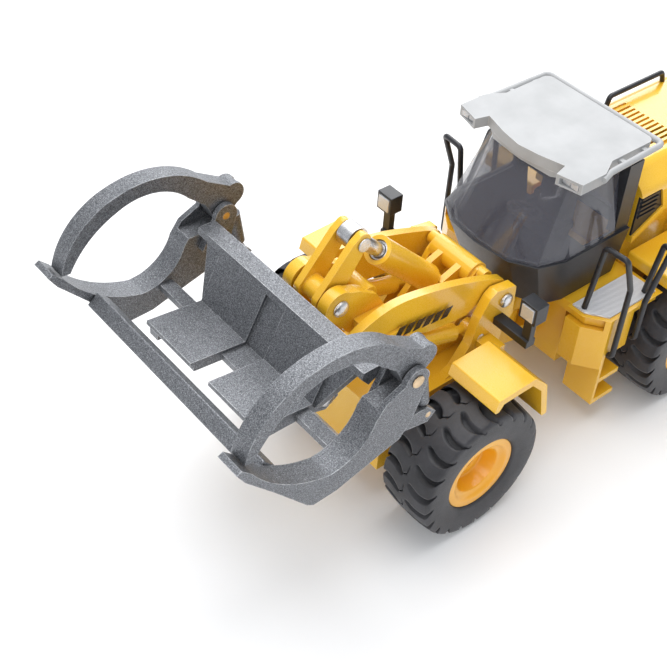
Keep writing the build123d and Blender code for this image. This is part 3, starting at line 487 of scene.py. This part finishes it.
def add_dome(bm, centre, radius, way, rings=6, columns=32):
    """A closed shallow cap whose flat base is sunk in the pin's end."""
    layers = []
    for ring in range(rings):
        a = math.radians(90) * ring / rings
        layers.append([bm.verts.new(centre + Vector((
            radius * math.cos(a) * math.cos(2 * math.pi * k / columns),
            way * (radius * DOME_SHARE * math.sin(a) - SUNK),
            radius * math.cos(a) * math.sin(2 * math.pi * k / columns)))) for k in range(columns)])
    for a, b in zip(layers, layers[1:]):
        bridge(bm, a, b)
    tip = bm.verts.new(centre + Vector((0, way * (radius * DOME_SHARE - SUNK), 0)))
    for k in range(columns):
        bm.faces.new((layers[-1][k], layers[-1][(k + 1) % columns], tip))
    bm.faces.new(layers[0])


for node, body in DOMED.items():
    low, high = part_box(node)
    bm = bmesh.new()
    for way, y in ((1, high.y), (-1, low.y)):
        add_dome(bm, Vector(((low.x + high.x) / 2, y, (low.z + high.z) / 2)), (high.x - low.x) / 2, way)
    piece(f"{node}_domes", bm, STEEL, body)


# ---- plain slanted bars on the outer faces of the boom's arms
BARS = 6
BAR_START = (16.6, 3.7)              # forward of and above the boom's pivot, in mm
BAR_PITCH = 2.9
BAR_RISE = 0.13                      # of the row, per mm forward
BAR_WIDE = 2.1
BAR_HALF = 1.3
BAR_LEAN = 0.8


def boom_bars(way):
    """A row of plain black painted bars on one arm."""
    low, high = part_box("boom")
    face = high.y if way > 0 else low.y
    pivot = Vector(PIVOTS["boom_lift"])
    bm = bmesh.new()
    for k in range(BARS):
        x = BAR_START[0] + k * BAR_PITCH
        z = BAR_START[1] + k * BAR_PITCH * BAR_RISE
        outline = ((x - BAR_LEAN, z + BAR_HALF), (x - BAR_LEAN + BAR_WIDE, z + BAR_HALF),
                   (x + BAR_LEAN + BAR_WIDE, z - BAR_HALF), (x + BAR_LEAN, z - BAR_HALF))
        rings = []
        for off in (-SUNK, SUNK):
            y = face + way * off
            rings.append([bm.verts.new((pivot.x + a * MM, y, pivot.z + b * MM)) for a, b in outline])
        bridge(bm, rings[0], rings[1])
        bm.faces.new(rings[0])
        bm.faces.new(rings[1])
    side = "left" if way > 0 else "right"
    piece(f"boom_bars_{side}", bm, LIVERY, "boom", smooth=False)


for way in (1, -1):
    boom_bars(way)


# ---------------------------------------------------------------- stage, light and camera
HALF_SHEET = 4.0                     # metres
CAMERA_AZIMUTH = 48.107              # degrees from +X towards +Y
CAMERA_ELEVATION = 43.093
CAMERA_ROLL = 4.071
CAMERA_PLACE = (0.1839, 0.1574, 0.2443)
LENS_MM = 68.32
SENSOR_MM = 36.0


def stage_floor():
    """A wide pale sheet under the toy."""
    g = Graph("studio_paper")
    g.set(Base_Color=g.mix(g.range(g.noise(0.02), 0.3, 0.7), rgb(0.90, 0.90, 0.90), rgb(0.93, 0.93, 0.93)),
          Roughness=0.7, Specular_IOR_Level=0.25)
    mesh = bpy.data.meshes.new("studio_floor")
    corners = [(-HALF_SHEET, -HALF_SHEET, 0), (HALF_SHEET, -HALF_SHEET, 0),
               (HALF_SHEET, HALF_SHEET, 0), (-HALF_SHEET, HALF_SHEET, 0)]
    mesh.from_pydata(corners, [], [(0, 1, 2, 3)])
    mesh.materials.append(g.material)
    floor = bpy.data.objects.new("studio_floor", mesh)
    bpy.context.scene.collection.objects.link(floor)


def soft_light(name, where, target, size, power, colour=(1, 1, 1)):
    """A square softbox that points at a place."""
    data = bpy.data.lights.new(name, "AREA")
    data.shape = "SQUARE"
    data.size = size
    data.energy = power
    data.color = colour
    light = bpy.data.objects.new(name, data)
    light.location = where
    light.rotation_mode = "QUATERNION"
    light.rotation_quaternion = (Vector(target) - Vector(where)).to_track_quat("-Z", "Y")
    bpy.context.scene.collection.objects.link(light)


def studio():
    world = bpy.data.worlds.new("studio")
    world.use_nodes = True
    back = world.node_tree.nodes["Background"]
    back.inputs["Color"].default_value = rgb(0.93, 0.96, 1.0)
    back.inputs["Strength"].default_value = 0.62
    bpy.context.scene.world = world
    bpy.context.scene.view_settings.view_transform = "Standard"
    middle = (CAD_BOX[0] + CAD_BOX[1]) / 2
    soft_light("overhead", (0.0, -0.1, 0.75), middle, 0.7, 4.6)
    soft_light("behind", (-0.55, -0.45, 0.5), middle, 0.5, 3.4)
    soft_light("camera_side", (0.55, 0.35, 0.5), middle, 0.45, 1.5)


def camera():
    """Looks down from the front left, at the loader's grab and cab, with the rear end out of the frame."""
    azimuth, elevation, roll = (
        math.radians(a) for a in (CAMERA_AZIMUTH, CAMERA_ELEVATION, CAMERA_ROLL))
    back = Vector((math.cos(azimuth) * math.cos(elevation), math.sin(azimuth) * math.cos(elevation),
                   math.sin(elevation)))
    across = Vector((0, 0, 1)).cross(back).normalized()
    up = back.cross(across)
    right = across * math.cos(roll) + up * math.sin(roll)
    top = up * math.cos(roll) - across * math.sin(roll)
    data = bpy.data.cameras.new("camera")
    data.sensor_width = SENSOR_MM
    data.lens = LENS_MM
    data.clip_start = 0.01
    data.clip_end = 20.0
    eye = bpy.data.objects.new("camera", data)
    bpy.context.scene.collection.objects.link(eye)
    turn = Matrix((right, top, back)).transposed().to_4x4()
    eye.matrix_world = Matrix.Translation(CAMERA_PLACE) @ turn
    bpy.context.scene.camera = eye


stage_floor()
studio()
camera()
